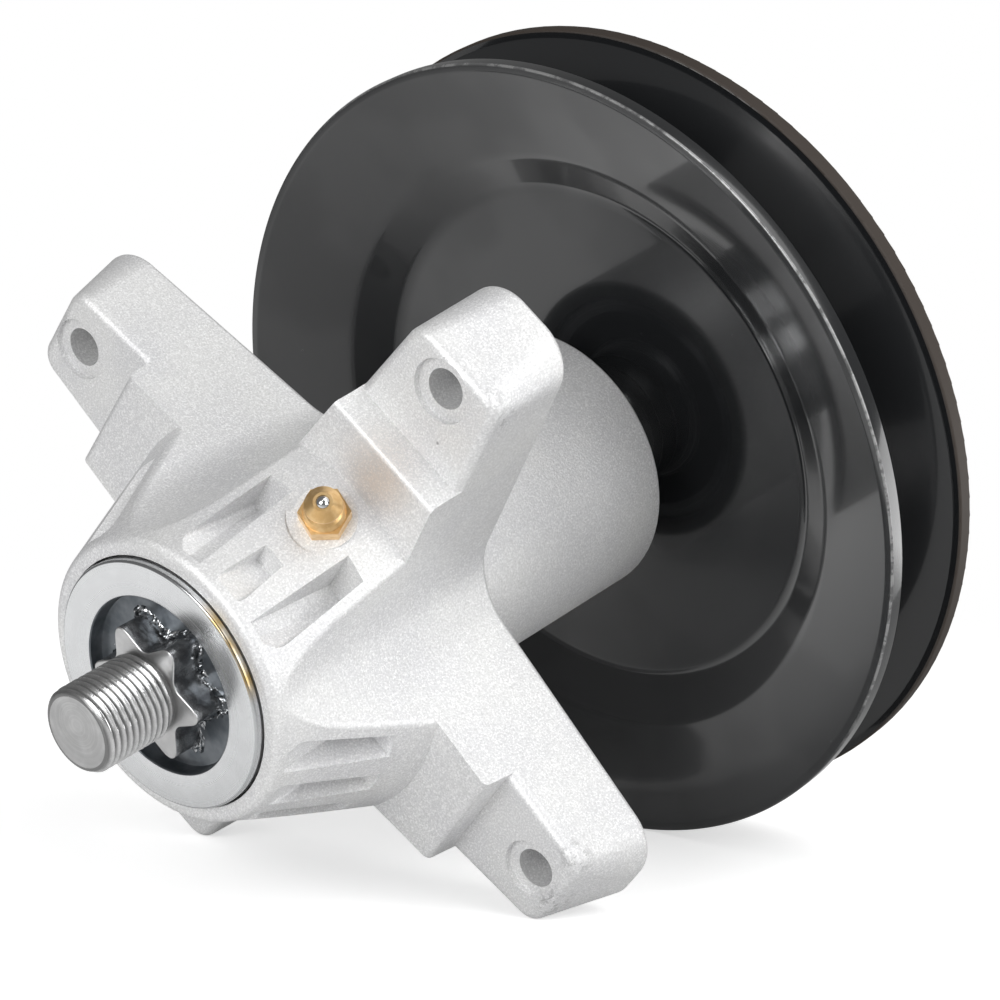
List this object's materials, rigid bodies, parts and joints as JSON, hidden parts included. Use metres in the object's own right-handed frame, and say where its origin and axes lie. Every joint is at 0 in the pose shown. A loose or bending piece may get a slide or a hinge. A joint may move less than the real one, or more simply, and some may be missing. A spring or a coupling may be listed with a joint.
{
  "type": "mower deck spindle",
  "caption": "Die-cast spindle with bolted arms carrying a greased shaft on ball bearings, a belt pulley on top and a star-keyed threaded stud for the blade below.",
  "frame": {"origin": "centre of the deck bolt circle, in the plane of the seating faces of the arms", "axes": "+Z along the spindle axis from the blade stud up to the pulley; +X along the arm with the grease fitting"},
  "size_m": [0.1588, 0.1588, 0.1668],
  "materials": {
    "cast_aluminium": "bead-blasted die casting",
    "shaft_steel": "bright turned steel",
    "bearing_steel": "ground bearing steel",
    "ball_steel": "polished ball steel",
    "cage_plastic": "moulded nylon",
    "seal_rubber": "moulded seal",
    "pulley_paint": "gloss black paint on stamped sheet",
    "zinc_plate": "clear zinc plate",
    "fitting_brass": "yellow plated, satin",
    "spring_steel": "drawn spring wire"
  },
  "bodies": {
    "housing": {"spindle_housing": "cast_aluminium", "lower_bearing_outer_ring": "bearing_steel", "lower_bearing_seal_below": "seal_rubber", "lower_bearing_seal_above": "seal_rubber", "upper_bearing_outer_ring": "bearing_steel", "upper_bearing_seal_below": "seal_rubber", "upper_bearing_seal_above": "seal_rubber", "grease_fitting_body": "fitting_brass", "grease_fitting_spring": "spring_steel"},
    "rotor": {"spindle_shaft": "shaft_steel", "lower_bearing_inner_ring": "bearing_steel", "upper_bearing_inner_ring": "bearing_steel", "bearing_spacer": "shaft_steel", "pulley_spacer": "shaft_steel", "pulley_front_half": "pulley_paint", "pulley_rear_half": "pulley_paint", "pulley_washer": "zinc_plate", "pulley_nut": "zinc_plate"},
    "lower_ball_set": {"lower_bearing_balls": "ball_steel", "lower_bearing_cage": "cage_plastic"},
    "upper_ball_set": {"upper_bearing_balls": "ball_steel", "upper_bearing_cage": "cage_plastic"},
    "check_ball": {"grease_fitting_ball": "ball_steel"}
  },
  "joints": [
    {"name": "rotor_spin", "type": "hinge", "parent": "housing", "child": "rotor", "pos_m": [0, 0, 0], "axis": [0, 0, 1], "continuous": true},
    {"name": "lower_balls_orbit", "type": "hinge", "parent": "housing", "child": "lower_ball_set", "pos_m": [0, 0, -0.022], "axis": [0, 0, 1], "continuous": true},
    {"name": "upper_balls_orbit", "type": "hinge", "parent": "housing", "child": "upper_ball_set", "pos_m": [0, 0, 0.063], "axis": [0, 0, 1], "continuous": true},
    {"name": "check_ball_press", "type": "slide", "parent": "housing", "child": "check_ball", "axis": [-0.848, 0, 0.5299], "range_m": [0, 0.001], "stiffness_N_per_m": 250, "springref_m": -0.002, "deforming": ["grease_fitting_spring"]}
  ],
  "couplings": [
    {"joint": "lower_balls_orbit", "follows": "rotor_spin", "ratio": 0.38152},
    {"joint": "upper_balls_orbit", "follows": "rotor_spin", "ratio": 0.38152}
  ]
}
